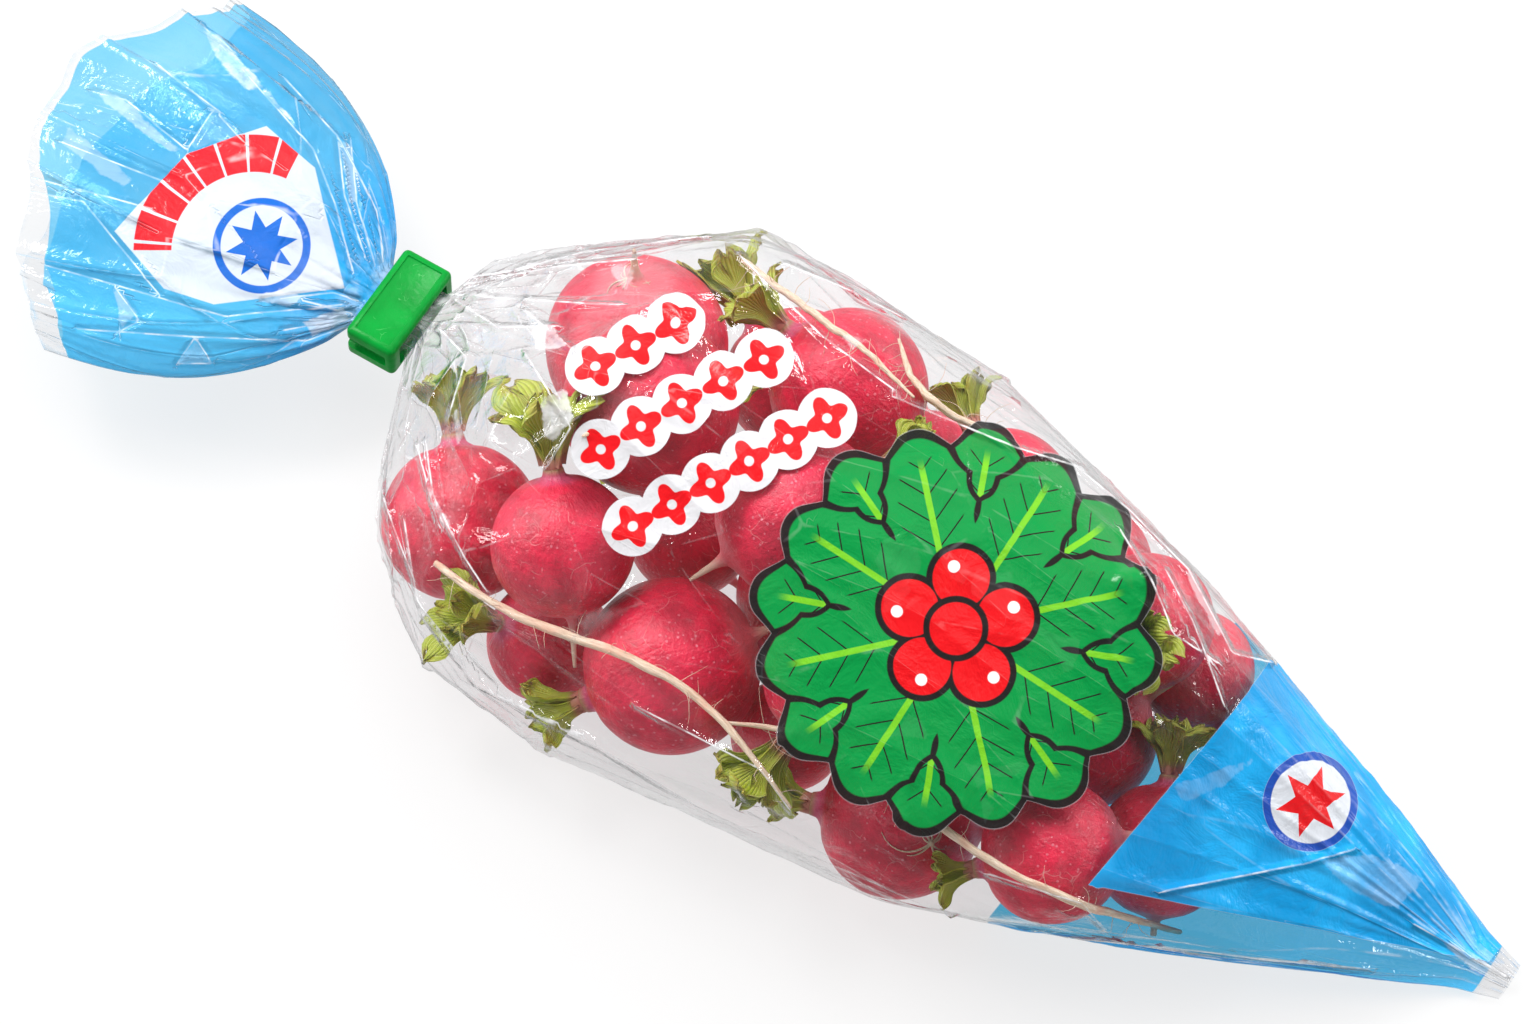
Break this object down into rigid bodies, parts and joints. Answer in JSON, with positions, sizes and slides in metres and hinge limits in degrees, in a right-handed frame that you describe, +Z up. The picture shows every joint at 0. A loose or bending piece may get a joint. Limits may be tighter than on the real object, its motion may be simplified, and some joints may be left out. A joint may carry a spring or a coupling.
{
  "type": "bag of radishes",
  "caption": "Cone-shaped clear film bag of trimmed red radishes lying down, its gathered neck closed by a moulded clip.",
  "frame": {"origin": "middle of the bounding box in plan, at the surface that the bag lies on", "axes": "+X along the bag from its open collar to its sealed tip, +Z up from the surface that it lies on, +Y across it"},
  "size_m": [0.299, 0.1084, 0.0704],
  "materials": {
    "radish_skin": "satin",
    "leaf_stub": "matte",
    "root": "matte",
    "film": "gloss",
    "clip": "satin"
  },
  "bodies": {
    "root": {"radish_A": "radish_skin", "radish_B": "radish_skin", "radish_C": "radish_skin", "radish_D": "radish_skin", "radish_E": "radish_skin", "radish_F": "radish_skin", "radish_G": "radish_skin", "radish_H": "radish_skin", "radish_I": "radish_skin", "radish_J": "radish_skin", "radish_K": "radish_skin", "radish_L": "radish_skin", "radish_M": "radish_skin", "radish_N": "radish_skin", "radish_O": "radish_skin", "radish_P": "radish_skin", "radish_Q": "radish_skin", "radish_R": "radish_skin", "radish_S": "radish_skin", "radish_T": "radish_skin", "radish_U": "radish_skin", "radish_V": "radish_skin", "radish_W": "radish_skin", "radish_X": "radish_skin", "radish_Y": "radish_skin", "leaf_stubs_A": "leaf_stub", "leaf_stubs_B": "leaf_stub", "leaf_stubs_C": "leaf_stub", "leaf_stubs_D": "leaf_stub", "leaf_stubs_E": "leaf_stub", "leaf_stubs_F": "leaf_stub", "leaf_stubs_G": "leaf_stub", "leaf_stubs_H": "leaf_stub", "leaf_stubs_I": "leaf_stub", "leaf_stubs_J": "leaf_stub", "leaf_stubs_K": "leaf_stub", "leaf_stubs_L": "leaf_stub", "leaf_stubs_M": "leaf_stub", "leaf_stubs_N": "leaf_stub", "leaf_stubs_O": "leaf_stub", "leaf_stubs_P": "leaf_stub", "leaf_stubs_Q": "leaf_stub", "leaf_stubs_R": "leaf_stub", "leaf_stubs_S": "leaf_stub", "leaf_stubs_T": "leaf_stub", "leaf_stubs_U": "leaf_stub", "leaf_stubs_V": "leaf_stub", "leaf_stubs_W": "leaf_stub", "leaf_stubs_X": "leaf_stub", "leaf_stubs_Y": "leaf_stub", "taproot_C": "root", "taproot_D": "root", "taproot_K": "root", "taproot_L": "root", "bag_film": "film", "neck_clip": "clip"}
  },
  "joints": []
}
